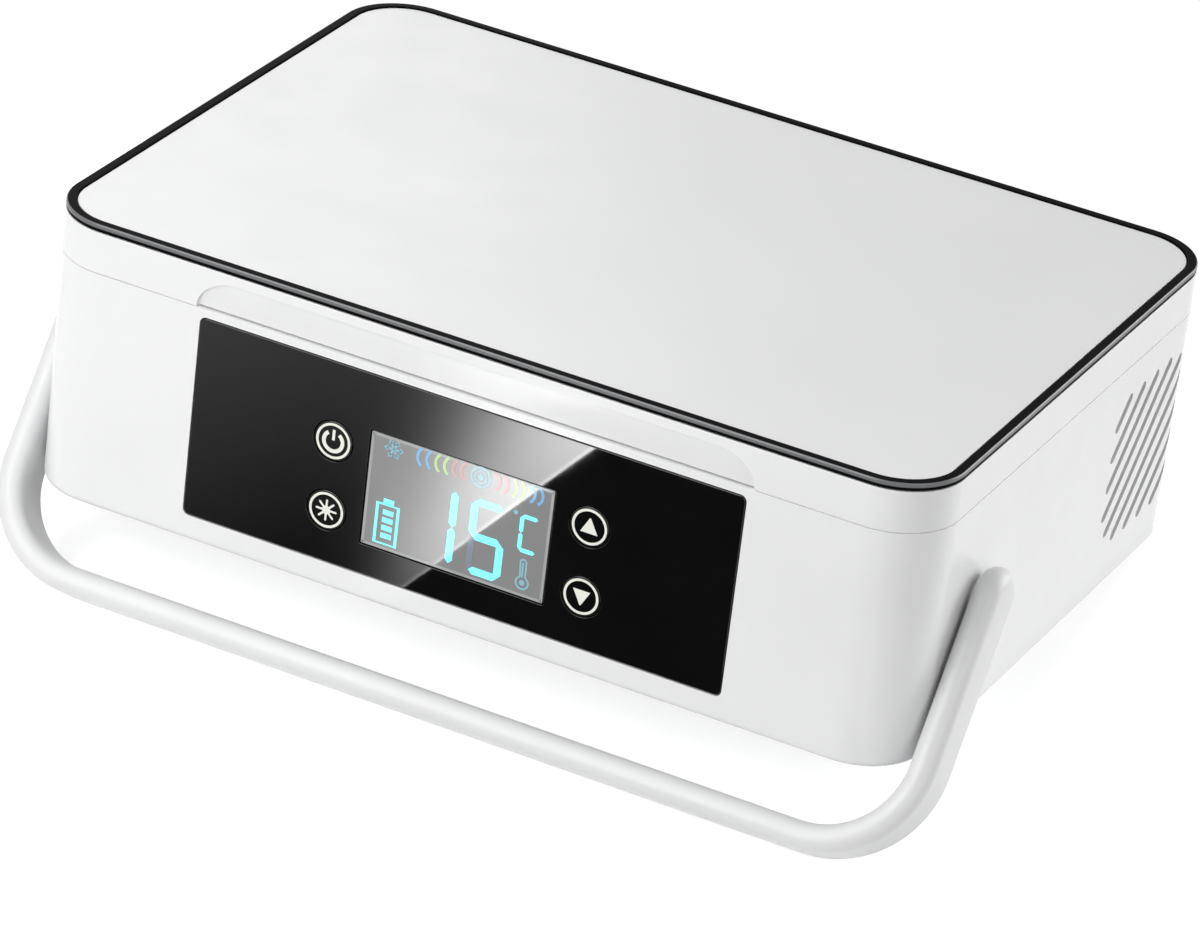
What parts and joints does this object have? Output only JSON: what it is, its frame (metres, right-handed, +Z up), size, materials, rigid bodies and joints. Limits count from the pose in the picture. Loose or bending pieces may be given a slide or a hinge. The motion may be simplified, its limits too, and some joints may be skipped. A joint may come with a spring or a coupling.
{
  "type": "insulin cooling case",
  "caption": "White insulin cooling case with a hinged lid, side-pivoted carry handle, black front panel with display and round keys, angled side vents and a rear battery door",
  "frame": {"origin": "centre of the base cover's flat underside", "axes": "+X to the right as seen from the front, +Y to the rear, away from the display, +Z up"},
  "size_m": [0.256, 0.1879, 0.1022],
  "materials": {
    "gloss_white": "gloss",
    "satin_white": "satin",
    "silver_panel": "satin",
    "dark_trim": "gloss",
    "gloss_black": "gloss",
    "display_glass": "gloss",
    "rubber": "matte",
    "steel": "satin",
    "aluminium": "satin",
    "foam": "matte",
    "ceramic": "matte",
    "circuit_board": "satin",
    "black_plastic": "matte",
    "pack_wrap": "gloss",
    "contact_brass": "gloss"
  },
  "bodies": {
    "case": {"body_shell": "gloss_white", "base_cover": "satin_white", "foot_front_left": "rubber", "base_screw_front_left": "steel", "foot_front_right": "rubber", "base_screw_front_right": "steel", "foot_rear_left": "rubber", "base_screw_rear_left": "steel", "foot_rear_right": "rubber", "base_screw_rear_right": "steel", "inner_deck": "satin_white", "cold_tray": "aluminium", "insulation_block": "foam", "temperature_probe": "black_plastic", "cold_plate": "aluminium", "thermoelectric_module": "ceramic", "heat_sink": "aluminium", "fan_frame": "black_plastic", "main_board": "circuit_board", "dc_jack": "black_plastic", "display_board": "circuit_board", "display_module": "display_glass", "front_panel": "gloss_black", "key_switch_power": "black_plastic", "key_switch_light": "black_plastic", "key_switch_up": "black_plastic", "key_switch_down": "black_plastic", "battery_bay": "black_plastic", "battery_pack_1": "pack_wrap", "battery_contact_1": "contact_brass", "battery_pack_2": "pack_wrap", "battery_contact_2": "contact_brass", "strike_plate_left": "steel", "hinge_pin_left": "steel", "strike_plate_right": "steel", "hinge_pin_right": "steel"},
    "lid": {"lid_frame": "gloss_white", "rim_trim": "dark_trim", "top_panel": "silver_panel", "lid_liner": "satin_white", "lid_insulation": "foam", "lid_gasket": "rubber", "lid_magnet_left": "steel", "lid_magnet_right": "steel"},
    "carry_handle": {"handle": "gloss_white", "handle_clip_left": "steel", "handle_clip_right": "steel"},
    "fan_wheel": {"fan_rotor": "black_plastic"},
    "battery_flap": {"battery_door": "gloss_white"},
    "power_key": {"key_power": "gloss_black"},
    "light_key": {"key_light": "gloss_black"},
    "up_key": {"key_up": "gloss_black"},
    "down_key": {"key_down": "gloss_black"}
  },
  "joints": [
    {"name": "lid_hinge", "type": "hinge", "parent": "case", "child": "lid", "pos_m": [0, 0.08915, 0.06255], "axis": [-1, 0, 0], "range_deg": [0, 95]},
    {"name": "handle_swing", "type": "hinge", "parent": "case", "child": "carry_handle", "pos_m": [0, -0.0509, 0.0358], "axis": [-1, 0, 0], "range_deg": [-62, 160]},
    {"name": "fan_spin", "type": "hinge", "parent": "case", "child": "fan_wheel", "pos_m": [0.1127, 0.05155, 0.03305], "axis": [1, 0, 0], "continuous": true},
    {"name": "battery_door_hinge", "type": "hinge", "parent": "case", "child": "battery_flap", "pos_m": [-0.0591, 0.0834, 0.0264], "axis": [1, 0, 0], "range_deg": [0, 95]},
    {"name": "power_key_travel", "type": "slide", "parent": "case", "child": "power_key", "axis": [0, 1, 0], "range_m": [0, 0.0005], "stiffness_N_per_m": 400, "springref_m": -0.003},
    {"name": "light_key_travel", "type": "slide", "parent": "case", "child": "light_key", "axis": [0, 1, 0], "range_m": [0, 0.0005], "stiffness_N_per_m": 400, "springref_m": -0.003},
    {"name": "up_key_travel", "type": "slide", "parent": "case", "child": "up_key", "axis": [0, 1, 0], "range_m": [0, 0.0005], "stiffness_N_per_m": 400, "springref_m": -0.003},
    {"name": "down_key_travel", "type": "slide", "parent": "case", "child": "down_key", "axis": [0, 1, 0], "range_m": [0, 0.0005], "stiffness_N_per_m": 400, "springref_m": -0.003}
  ]
}
